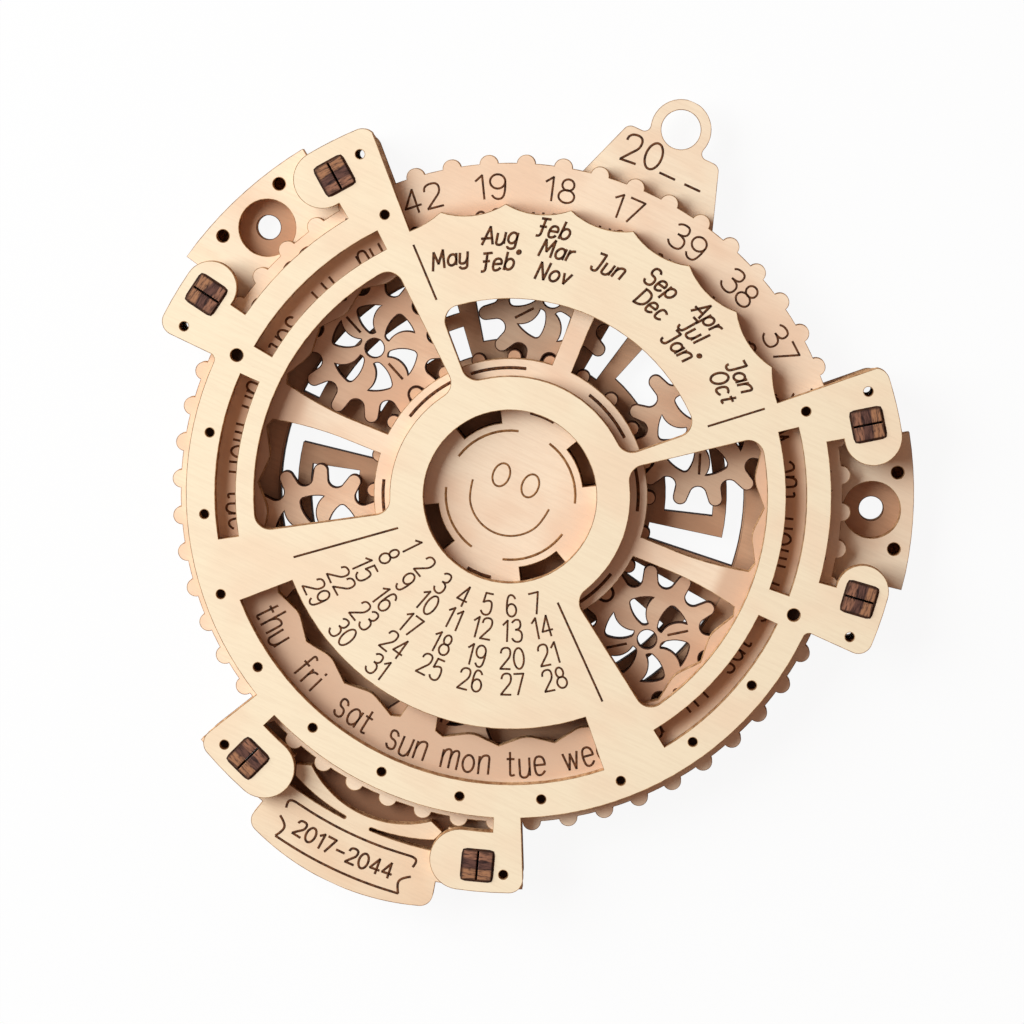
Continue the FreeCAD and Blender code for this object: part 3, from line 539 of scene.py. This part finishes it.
SMALL = {
    "a": (0.50, [ROUND, STEM]),
    "b": (0.50, [ROUND, line((0.0, 1.0), (0.0, 0.0))]),
    "c": (0.44, [bow((0.44, 0.52), (0.34, 0.64), (0.0, 0.64), (0.0, -0.02), (0.34, -0.02),
                     (0.44, 0.10))]),
    "d": (0.50, [ROUND, line((0.5, 1.0), (0.5, 0.0))]),
    "e": (0.48, [line((0.02, 0.34), (0.48, 0.34)),
                 bow((0.48, 0.34), (0.48, 0.64), (0.0, 0.66), (0.0, -0.02), (0.34, -0.04),
                     (0.46, 0.12))]),
    "f": (0.34, [bow((0.36, 0.94), (0.13, 1.08), (0.13, 0.70), (0.13, 0.0)),
                 line((0.0, 0.60), (0.30, 0.60))]),
    "g": (0.50, [ROUND, bow((0.5, 0.62), (0.5, 0.0), (0.50, -0.32), (0.08, -0.32),
                            (0.04, -0.16))]),
    "h": (0.46, [line((0.0, 1.0), (0.0, 0.0)), ARCH]),
    "i": (0.08, [line((0.04, 0.60), (0.04, 0.0)), line((0.04, 0.80), (0.04, 0.86))]),
    "l": (0.08, [line((0.04, 1.0), (0.04, 0.0))]),
    "m": (0.74, [line((0.0, 0.62), (0.0, 0.0)),
                 bow((0.0, 0.34), (0.03, 0.64), (0.37, 0.72), (0.37, 0.36), (0.37, 0.0)),
                 bow((0.37, 0.34), (0.40, 0.64), (0.74, 0.72), (0.74, 0.36), (0.74, 0.0))]),
    "n": (0.46, [line((0.0, 0.62), (0.0, 0.0)), ARCH]),
    "o": (0.52, [oval(0.26, 0.31, 0.26, 0.31)]),
    "p": (0.50, [ROUND, line((0.0, 0.62), (0.0, -0.3))]),
    "r": (0.32, [line((0.0, 0.62), (0.0, 0.0)), bow((0.0, 0.34), (0.05, 0.64), (0.32, 0.62))]),
    "s": (0.42, [bow((0.38, 0.50), (0.32, 0.65), (0.0, 0.66), (0.03, 0.35), (0.40, 0.32),
                     (0.44, -0.02), (0.06, -0.04), (0.0, 0.12))]),
    "t": (0.34, [bow((0.13, 0.86), (0.13, 0.16), (0.14, -0.04), (0.34, 0.03)),
                 line((0.0, 0.60), (0.30, 0.60))]),
    "u": (0.46, [bow((0.0, 0.62), (0.0, 0.26), (0.0, -0.08), (0.42, -0.08), (0.46, 0.28)),
                 line((0.46, 0.62), (0.46, 0.0))]),
    "v": (0.44, [line((0.0, 0.60), (0.20, 0.0), (0.44, 0.62))]),
    "w": (0.66, [line((0.0, 0.60), (0.17, 0.0), (0.33, 0.56), (0.49, 0.0), (0.66, 0.60))]),
    "y": (0.46, [bow((0.0, 0.62), (0.0, 0.26), (0.0, -0.02), (0.42, -0.04), (0.46, 0.28)),
                 bow((0.46, 0.62), (0.46, 0.0), (0.48, -0.32), (0.08, -0.32), (0.02, -0.16))]),
}
CAPITALS = {
    "A": (0.62, [line((0.0, 0.0), (0.36, 1.0), (0.62, 0.0)), line((-0.08, 0.34), (0.52, 0.34))]),
    "D": (0.60, [line((0.04, 0.0), (0.04, 1.0)), bow((-0.04, 1.0), (0.62, 1.08), (0.66, -0.04),
                                                     (-0.04, 0.0))]),
    "F": (0.50, [line((0.06, 1.0), (0.54, 1.0)), line((0.10, 0.54), (0.44, 0.54)),
                 bow((0.28, 1.0), (0.28, 0.30), (0.26, -0.06), (0.02, -0.02))]),
    "J": (0.46, [line((0.04, 1.0), (0.40, 1.0)),
                 bow((0.40, 1.0), (0.40, 0.16), (0.34, -0.10), (0.02, -0.08), (0.0, 0.14))]),
    "M": (0.72, [line((0.0, 0.0), (0.10, 1.0), (0.36, 0.30), (0.66, 1.0), (0.70, 0.0))]),
    "N": (0.58, [line((0.0, 0.0), (0.06, 1.0), (0.50, 0.0), (0.58, 1.0))]),
    "O": (0.66, [oval(0.33, 0.50, 0.33, 0.50)]),
    "S": (0.54, [bow((0.50, 0.84), (0.42, 1.04), (0.0, 1.04), (0.02, 0.56), (0.52, 0.52),
                     (0.56, -0.04), (0.06, -0.06), (0.0, 0.18))]),
    "*": (0.0, [oval(-0.10, 1.02, 0.09, 0.09)]),
}
GLYPHS = {**DIGITS, **SMALL, **CAPITALS}
print(len(GLYPHS), "glyphs")

# %% [markdown]
# All strokes of one group, such as the months, go into one curve, which is
# engraved in one go. Writing follows the circle: each glyph is turned to its
# own direction, with its top outwards or towards the centre. The finished
# curve becomes a mesh and is pressed flat until its lines stand less than
# 0.1 mm proud of the sheet.

# %% Writing on a circle
GAP = 0.22                       # space between glyphs, as a share of their height
FLATNESS = 0.25
CORNER_LAP = 0.12                # how far straight pieces run past a corner, in mm


def add_spline(curve, kind, points):
    """Adds one spline of a curve through points in metres."""
    spline = curve.splines.new(kind)
    spline.points.add(len(points) - 1)
    for slot, point in zip(spline.points, points):
        slot.co = (point.x, point.y, 0.0, 1.0)
    return spline


def add_stroke(curve, kind, points):
    """Adds one stroke. The straight pieces of a line overlap at its corners."""
    if kind == "line":
        for start, end in zip(points, points[1:]):
            lap = (end - start).normalized() * CORNER_LAP * MM
            add_spline(curve, "POLY", (start - lap, end + lap))
        return
    spline = add_spline(curve, "NURBS", points)
    spline.order_u = 3
    spline.resolution_u = 5
    spline.use_cyclic_u = kind == "loop"
    spline.use_endpoint_u = kind == "bow"


def arc_stroke(curve, radius, start, end, count=9):
    """Smooth stroke along an arc; points are spread a little outwards."""
    step = (end - start) / (count - 1)
    swell = 1.0 / math.cos(math.radians(step / 2.0))
    points = [polar(radius * (1.0 if i in (0, count - 1) else swell), start + i * step)
              for i in range(count)]
    add_stroke(curve, "bow", points)


def write(curve, text, radius, deg, height, outwards, slant=0.0, stretch=1.0):
    """Writes text whose middle is at a radius and a direction."""
    widths = [GLYPHS[letter][0] for letter in text]
    total = sum(widths) + GAP * (len(text) - 1)
    way = -1.0 if outwards else 1.0
    wide = stretch * height
    start = -total / 2.0
    for letter, width in zip(text, widths):
        middle = start + width / 2.0
        turn = deg + way * math.degrees(middle * wide / radius)
        across = polar(1.0, turn + way * 90.0)
        upwards = polar(1.0, turn) * -way
        for kind, points in GLYPHS[letter][1]:
            placed = []
            for x, y in points:
                along = (x - width / 2.0) * wide + slant * (y - 0.5) * height
                placed.append(polar(radius, turn) + across * along + upwards * (y - 0.5) * height)
            add_stroke(curve, kind, placed)
        start += width + GAP


def new_engraving(name):
    curve = bpy.data.curves.new(name, "CURVE")
    curve.dimensions = "3D"
    return curve


def engrave(curve, width, top, body, finish=ENGRAVED_AND_SHADE):
    """Turns the strokes into a flat charred mesh at height top; width is in mm."""
    curve.bevel_depth = width * MM / 2.0
    curve.bevel_resolution = 1
    curve.use_fill_caps = True
    piece = bpy.data.objects.new(curve.name, curve)
    bpy.context.collection.objects.link(piece)
    only(piece)
    bpy.ops.object.convert(target="MESH")
    piece = bpy.context.object
    piece.scale.z = FLATNESS
    piece.location.z = top
    bpy.ops.object.transform_apply(location=True, rotation=True, scale=True)
    set_material(piece, finish)
    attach(piece, body)
    print(piece.name, len(piece.data.polygons), "faces")
    return piece


# %% [markdown]
# Months stand in seven columns on the front sheet, in a slanted hand. Those
# whose first days match in a common year share a column, and a small dot
# marks January and February of a leap year.

# %% Months
MONTH_HEIGHT = 3.4
MONTH_SLANT = 0.24
MONTHS = (
    (128.9, 49.2, "May"),
    (116.9, 52.2, "Aug"), (117.3, 47.0, "Feb*"),
    (105.4, 54.1, "Feb"), (103.8, 50.1, "Mar"), (103.6, 45.5, "Nov"),
    (91.5, 50.1, "Jun"),
    (79.3, 52.3, "Sep"), (78.3, 47.8, "Dec"),
    (66.9, 53.5, "Apr"), (67.2, 49.5, "Jul"), (66.3, 45.3, "Jan*"),
    (52.5, 52.2, "Jan"), (52.1, 48.0, "Oct"),
)
months = new_engraving("month_names")
for deg, radius, word in MONTHS:
    write(months, word, radius, deg, MONTH_HEIGHT, True, MONTH_SLANT)
engrave(months, 0.54, FRONT_TOP, "frame")

# %% [markdown]
# The dates fan out below the centre in seven columns, one for each weekday,
# with their tops towards the centre.

# %% Dates
DATE_ROWS = (22.0, 27.0, 32.6, 37.8, 43.3)
DATE_HEIGHT = 4.2
DATE_STRETCH = 0.80
dates = new_engraving("date_numbers")
for day in range(1, 32):
    row, column = divmod(day - 1, 7)
    write(dates, str(day), DATE_ROWS[row], 270.0 + (column - 3) * STEP, DATE_HEIGHT, False,
          0.0, DATE_STRETCH)
engrave(dates, 0.42, FRONT_TOP, "frame")

# %% [markdown]
# Straight lines divide the months and the dates from the gear windows.

# %% Dividers
# The direction a pair of lines stands about, then the radius of each end and
# how many degrees it lies to the side.
DIVIDERS = (
    (270.0, (23.4, 49.2), (45.0, 49.2)),
    (90.0, (42.0, 45.3), (53.6, 45.8)),
)
dividers = new_engraving("divider_lines")
for side in (-1, 1):
    for middle, *ends in DIVIDERS:
        add_stroke(dividers, "line", [polar(radius, middle + side * deg) for radius, deg in ends])
engrave(dividers, 0.45, FRONT_TOP, "frame")

# %% [markdown]
# The dial carries 28 years and, below them, the weekdays four times round. The
# photo shows only some of the years, and the others fill the places that keep
# the calendar right.

# %% Years and weekdays
YEARS = ("17 18 19 42 43 32 33 34 35 24 25 26 27 44 28 29 30 31 20 21 22 23 40 41 "
         "36 37 38 39").split()
DAYS = "thu fri sat sun mon tue wed".split()
YEAR_R = 61.8
YEAR_HEIGHT = 4.7
YEAR_STRETCH = 1.15
DAY_R = 54.0
DAY_HEIGHT = 5.6
DAY_STRETCH = 0.78
FIRST_DAY_DEG = 233.9
years = new_engraving("year_numbers")
days = new_engraving("weekday_names")
for place, year in enumerate(YEARS):
    write(years, year, YEAR_R, DIAL_DEG + place * STEP, YEAR_HEIGHT, True, 0.0, YEAR_STRETCH)
    write(days, DAYS[place % 7], DAY_R, FIRST_DAY_DEG + place * STEP, DAY_HEIGHT, False,
          0.0, DAY_STRETCH)
engrave(years, 0.45, DIAL_TOP, "dial")
engrave(days, 0.48, DIAL_TOP, "dial")

# %% [markdown]
# The dial's centre shows a plain smiling face of two ovals and one arc.

# %% Smiling face
FACE_UP_DEG = 93.0
FACE_EYES = ((139.0, 4.5), (50.5, 4.4))        # direction and distance from the axis
FACE_EYE_HALVES = (1.66, 2.4)
SMILE = (8.2, 182.0, 365.0)                    # radius, start and end
face = new_engraving("dial_face")
up, side = polar(1.0, FACE_UP_DEG), polar(1.0, FACE_UP_DEG - 90.0)
for turn_deg, reach in FACE_EYES:
    middle = polar(reach, turn_deg)
    kind, points = oval(0.0, 0.0, *FACE_EYE_HALVES)
    add_stroke(face, kind, [middle + side * x + up * y for x, y in points])
arc_stroke(face, *SMILE)
engrave(face, 0.42, DIAL_TOP, "dial", FAINT)

# %% [markdown]
# Three kinds of slit are cut through the dial. In the photo those round the
# face look brown and the others dark, so a line of that tone lies over each:
# painted shade of the slit's depth.

# %% Lines over the slits
FACE_SLIT = (13.0, 30.0)         # radius in mm and half of the span in degrees
GRIP_SLIT = (17.0, 8.5)
HUB_SLIT = (25.6, 12.5)
HUB_SLIT_DEGS = (27.5, 61.5)     # where two of them stand in each quarter
QUARTERS = [DIAL_DEG + 90.0 * quarter for quarter in range(4)]


def slit_line(curve, slit, middle):
    """Line over the slit that stands about a direction."""
    radius, half = slit
    arc_stroke(curve, radius, middle - half, middle + half)


rings = new_engraving("face_slit_shade")
for quarter in QUARTERS:
    slit_line(rings, FACE_SLIT, quarter + 45.0)
engrave(rings, 0.46, DIAL_TOP, "dial", FAINT)
grips = new_engraving("slit_shade_lines")
for quarter in QUARTERS[::2]:
    slit_line(grips, GRIP_SLIT, quarter)
for quarter in QUARTERS:
    for deg in HUB_SLIT_DEGS:
        slit_line(grips, HUB_SLIT, quarter + deg)
engrave(grips, 0.66, DIAL_TOP, "dial")

# %% [markdown]
# The label at the foot names the span of years inside a thin cartouche, and
# the tab behind the dial carries the century.

# %% Label and tab
LABEL_DEG = 269.8
LABEL_R = 80.2
LABEL_HEIGHT = 3.15
CARTOUCHE_ARCS = ((84.2, 9.4), (76.1, 9.3))    # radius in mm and half span in degrees
CARTOUCHE_CORNER = ((78.2, 10.4), (77.2, 10.8), (76.1, 10.5), (76.1, 9.3))
CARTOUCHE_BRACKET = ((80.2, 10.5), (80.9, 9.3), (82.3, 8.8), (84.2, 9.4))
TAB_DIGITS = (("2", 73.3, 95.7), ("0", 73.4, 92.1))
TAB_HEIGHT = 5.4
BLANKS = (1.4, 6.9)              # middles of the two lines for the year's last digits
BLANK_Y = 70.9
BLANK_HALF = Vector((1.6, 0, 0)) * MM
label = new_engraving("label_lettering")
write(label, "2017-2044", LABEL_R, LABEL_DEG, LABEL_HEIGHT, False)
for radius, half in CARTOUCHE_ARCS:
    arc_stroke(label, radius, LABEL_DEG - half, LABEL_DEG + half)
for side in (-1, 1):
    for bend in (CARTOUCHE_CORNER, CARTOUCHE_BRACKET):
        add_stroke(label, "bow", [polar(radius, LABEL_DEG + side * deg) for radius, deg in bend])
engrave(label, 0.52, LABEL_TOP, "frame")
tab = new_engraving("tab_numbers")
for digit, radius, deg in TAB_DIGITS:
    write(tab, digit, radius, deg, TAB_HEIGHT, True)
for x in BLANKS:
    middle = Vector((x, BLANK_Y, 0)) * MM
    add_stroke(tab, "line", [middle - BLANK_HALF, middle + BLANK_HALF])
engrave(tab, 0.50, FRAME_TOP, "frame")

# %% [markdown]
# The photo shows the four small holes of the lobes black. What fills them can't
# be seen, so a dark spot of painted shade covers the sheet at the bottom of each.

# %% Spots in the small holes
HOLE_R = 77.6                    # from the axis to the middle of each hole
HOLE_DEGS = (16.9, 28.3, 151.7, 163.1)
SPOT_R = 0.62
ring = [Vector((x, y, 0)) * MM for x, y in oval(0.0, 0.0, SPOT_R, SPOT_R)[1]]
spots = new_engraving("hole_shade_spots")
for deg in HOLE_DEGS:
    add_stroke(spots, "loop", [polar(HOLE_R, deg) + point for point in ring])
engrave(spots, 1.3, SHEET, "frame")

# %% [markdown]
# Each planet has a short engraved line on both sides of its centre, which
# shows how far it has turned.

# %% Planet marks
MARK_DEGS = (112.0, 52.0, 157.0, 37.0, 97.0, 37.0)
MARK_ENDS = (4.3, 8.3)           # distances from the planet's centre, in mm
for node, mark_deg in zip(PLANETS, MARK_DEGS):
    low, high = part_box(node)
    centre = Vector(((low.x + high.x) / 2.0, (low.y + high.y) / 2.0, 0.0))
    marks = new_engraving(node + "_marks")
    for deg in (mark_deg, mark_deg + 180.0):
        add_stroke(marks, "line", [centre + polar(end, deg) for end in MARK_ENDS])
    engrave(marks, 0.52, PLANET_TOP, nodes[node]["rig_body"])

# %% [markdown]
# A peg is two strips of the same sheet driven side by side through the stack,
# so that its end shows two rows of plies with a black slit between them and a
# charred rim round both. The plies follow the peg's own coordinates, which it
# keeps in an attribute when it is turned to its place.

# %% Peg finish


def peg_finish():
    """Bands of plies along the strip, with fine end grain across them."""
    wood = Recipe("peg_end_grain")
    own = wood.node("Attribute", {"attribute_name": "peg_place"}, out="Vector")
    place = wood.place()
    along, across = wood.part(own, "X"), wood.part(own, "Y")
    wander = wood.spots(place, (160, 160, 160), detail=1.0)
    band = along / MM + (wander - 0.5) * 2.2
    ends = band.rise(0.7, 1.1)
    starts = 1.0 - band.rise(-1.3, -0.9)
    grain = wood.spots(own, (2600, 420, 260), detail=4.0, roughness=0.7)
    colour = wood.blend(grain.rise(0.36, 0.60), tint(46, 27, 25), tint(104, 70, 60))
    colour = wood.blend(starts * grain.rise(0.32, 0.62), colour, tint(156, 108, 84))
    colour = wood.blend(ends * grain.rise(0.34, 0.62), colour, tint(172, 122, 88))
    reach = wood.node("Math", {"operation": "MAXIMUM"}, {0: abs(along), 1: abs(across)}) / MM
    rim = reach.rise(2.6, 3.0)
    colour = wood.blend(rim * 0.8, colour, tint(40, 21, 13))
    facing = wood.part(wood.node("NewGeometry", out="True Normal"), "Z")
    colour = wood.blend(abs(facing).above(0.3), tint(44, 24, 16), colour)
    return wood.finish(colour, 0.7 + 0.2 * grain, grain, 0.08)


PEG_WOOD = peg_finish()
CHARRED_RIM = burnt("charred_rim", tint(40, 20, 10), tint(78, 44, 24), 1.2)
print("peg finishes", PEG_WOOD.name, CHARRED_RIM.name)

# %% [markdown]
# Each strip starts as a cube, and its outer corners and the edges of its end
# are bevelled. The rim starts as a short round wall, which is squared and
# thickened. Both strips and the rim join into one mesh, which takes the place
# of the plain peg.

# %% Pegs
PEG_HALF = 3.0
PEG_CORNER = 0.5
PEG_CROWN = 0.16
RIM_HALF = 2.93
RIM_WIDTH = 0.45
RIM_HEIGHT = 0.04
SLIT = 0.4
SQUARENESS = 12                  # a higher power makes the rim's corners sharper
PEG_NAMES = sorted(name for name in nodes if name.startswith("peg_"))


def select_by(obj, keep_edge):
    """Selects the edges that pass a test of their two end points."""
    bpy.ops.object.mode_set(mode="EDIT")
    bpy.ops.mesh.select_mode(type="EDGE")
    bpy.ops.mesh.select_all(action="DESELECT")
    bpy.ops.object.mode_set(mode="OBJECT")
    points = obj.data.vertices
    for edge in obj.data.edges:
        edge.select = keep_edge(*(points[i].co for i in edge.vertices))
    bpy.ops.object.mode_set(mode="EDIT")


def peg_strip(side, high):
    """One strip, standing on z = 0, with rounded outer corners and a crowned end."""
    width = PEG_HALF - SLIT / 2.0
    middle = side * (SLIT / 2.0 + width / 2.0)
    bpy.ops.mesh.primitive_cube_add(size=1.0, location=(0, middle * MM, high / 2.0))
    strip = bpy.context.object
    strip.scale = (2 * PEG_HALF * MM, width * MM, high)
    bpy.ops.object.transform_apply(location=True, rotation=True, scale=True)
    outer = PEG_HALF * MM * 0.98
    select_by(strip, lambda a, b: abs(a.z - b.z) > FLAT and side * a.y > outer)
    bpy.ops.mesh.bevel(offset=PEG_CORNER * MM, segments=4)
    bpy.ops.object.mode_set(mode="OBJECT")
    select_by(strip, lambda a, b: min(a.z, b.z) > high - FLAT)
    bpy.ops.mesh.bevel(offset=PEG_CROWN * MM, segments=2)
    bpy.ops.object.mode_set(mode="OBJECT")
    return strip


def peg_collar(high):
    """Charred rim round the end of the peg, a hair above the front sheet."""
    bpy.ops.mesh.primitive_cylinder_add(vertices=48, radius=RIM_HALF * MM,
                                        depth=RIM_HEIGHT * MM, end_fill_type="NOTHING",
                                        location=(0, 0, high))
    collar = bpy.context.object
    for point in collar.data.vertices:
        x, y = point.co.x / (RIM_HALF * MM), point.co.y / (RIM_HALF * MM)
        squareness = (abs(x) ** SQUARENESS + abs(y) ** SQUARENESS) ** (1.0 / SQUARENESS)
        point.co.x = RIM_HALF * MM * x / squareness
        point.co.y = RIM_HALF * MM * y / squareness
    bpy.ops.object.transform_apply(location=True, rotation=True, scale=True)
    solid = collar.modifiers.new("rim", "SOLIDIFY")
    solid.thickness = RIM_WIDTH * MM
    solid.offset = 1.0
    solid.use_even_offset = True
    only(collar)
    bpy.ops.object.modifier_apply(modifier="rim")
    return collar


def make_peg(node):
    """Two strips and a charred rim in the place of one plain peg."""
    low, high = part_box(node)
    middle = (low + high) / 2.0
    turn = math.atan2(middle.y, middle.x)
    strips = [peg_strip(side, high.z - low.z) for side in (-1, 1)]
    for strip in strips:
        set_material(strip, PEG_WOOD)
    collar = peg_collar(FRONT_TOP - low.z)
    set_material(collar, CHARRED_RIM)
    only(strips[0])
    strips[1].select_set(True)
    collar.select_set(True)
    bpy.ops.object.join()
    peg = bpy.context.object
    own = peg.data.attributes.new("peg_place", "FLOAT_VECTOR", "POINT")
    for point, value in zip(peg.data.vertices, own.data):
        value.vector = point.co
    peg.rotation_euler.z = turn
    peg.location = (middle.x, middle.y, low.z)
    bpy.ops.object.transform_apply(location=True, rotation=True, scale=True)
    peg.name = node + "_strips"
    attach(peg, "frame")
    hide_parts(node)
    return peg


for node in PEG_NAMES:
    peg = make_peg(node)
    print(peg.name, len(peg.data.polygons), "faces")

# %% [markdown]
# The calendar lies on a plain white floor. Rays from the camera, from gloss
# and through glass see it almost white, through Light Path, so that the holes
# look bright. Rays that light the wood see a plain white surface, which
# throws a little light back up. The camera sees only a faint shadow.

# %% Floor
SHOWN_WHITE = 0.93               # share of the floor's look that no shadow darkens


def floor_finish():
    floor = Recipe("white_floor")
    rays = [floor.node("LightPath", out=name)
            for name in ("Is Camera Ray", "Is Glossy Ray", "Is Transmission Ray")]
    seen = rays[0] + rays[1] + rays[2]
    seen = seen.math("MINIMUM", seen, 1.0)
    cloud = floor.spots(floor.place(), (3, 3, 3), detail=1.0)
    colour = floor.blend(cloud, tint(249, 249, 249), tint(252, 252, 252))
    matt = floor.node("BsdfDiffuse", inputs={"Color": colour})
    glow = floor.node("Emission", inputs={"Color": tint(254, 254, 254), "Strength": 1.0})
    mixed = floor.node("MixShader", inputs={0: seen * SHOWN_WHITE, 1: matt, 2: glow})
    floor.node("OutputMaterial", inputs={"Surface": mixed})
    return floor.material


bpy.ops.object.select_all(action="DESELECT")
bpy.ops.mesh.primitive_plane_add(size=6.0, location=(0, 0, cad_box[0].z - 0.1 * MM))
floor = bpy.context.object
floor.name = "floor"
set_material(floor, floor_finish())
print("floor at", round(floor.location.z / MM, 2), "mm")

# %% [markdown]
# One large soft lamp stands low beyond the left of the picture, and weak warm
# surroundings fill the shadows. The lamp is a little cooler, so that both
# together are nearly white. Their places, sizes and colours were set by
# comparing renders with the photo, and nothing is known of the real lamps.
# Lengths are in metres.

# %% Light
KEY_DEG = 182.0
KEY_SIZE = 1.3
KEY_REACH = 1.35
KEY_HEIGHT = 0.82
KEY_POWER = 48.0
KEY_COLOUR = (0.905, 0.97, 0.99)
WORLD_LEVEL = 0.24
WORLD_COLOUR = (1.0, 0.68, 0.56, 1.0)


def add_key():
    """Square area lamp that looks at the dial's centre."""
    place = polar(KEY_REACH / MM, KEY_DEG, KEY_HEIGHT)
    bpy.ops.object.light_add(type="AREA", location=place)
    lamp = bpy.context.object
    lamp.data.size = KEY_SIZE
    lamp.data.energy = KEY_POWER
    lamp.data.color = KEY_COLOUR
    lamp.rotation_euler = place.to_track_quat("Z", "Y").to_euler()


def add_surroundings():
    """Even warm light that the camera sees as white."""
    world = bpy.data.worlds.new("light_tent")
    bpy.context.scene.world = world
    world.use_nodes = True
    tree = world.node_tree
    tree.nodes.clear()
    path = tree.nodes.new("ShaderNodeLightPath")
    light = tree.nodes.new("ShaderNodeBackground")
    light.inputs["Strength"].default_value = WORLD_LEVEL
    shown = tree.nodes.new("ShaderNodeBackground")
    mixed = tree.nodes.new("ShaderNodeMixShader")
    end = tree.nodes.new("ShaderNodeOutputWorld")
    light.inputs["Color"].default_value = WORLD_COLOUR
    shown.inputs["Color"].default_value = (1.0, 1.0, 1.0, 1.0)
    tree.links.new(path.outputs["Is Camera Ray"], mixed.inputs[0])
    tree.links.new(light.outputs[0], mixed.inputs[1])
    tree.links.new(shown.outputs[0], mixed.inputs[2])
    tree.links.new(mixed.outputs[0], end.inputs[0])


add_key()
add_surroundings()
bpy.context.scene.view_settings.view_transform = "Standard"
print("lamp at", round(KEY_REACH / MM), "mm out and", round(KEY_HEIGHT / MM), "mm up")
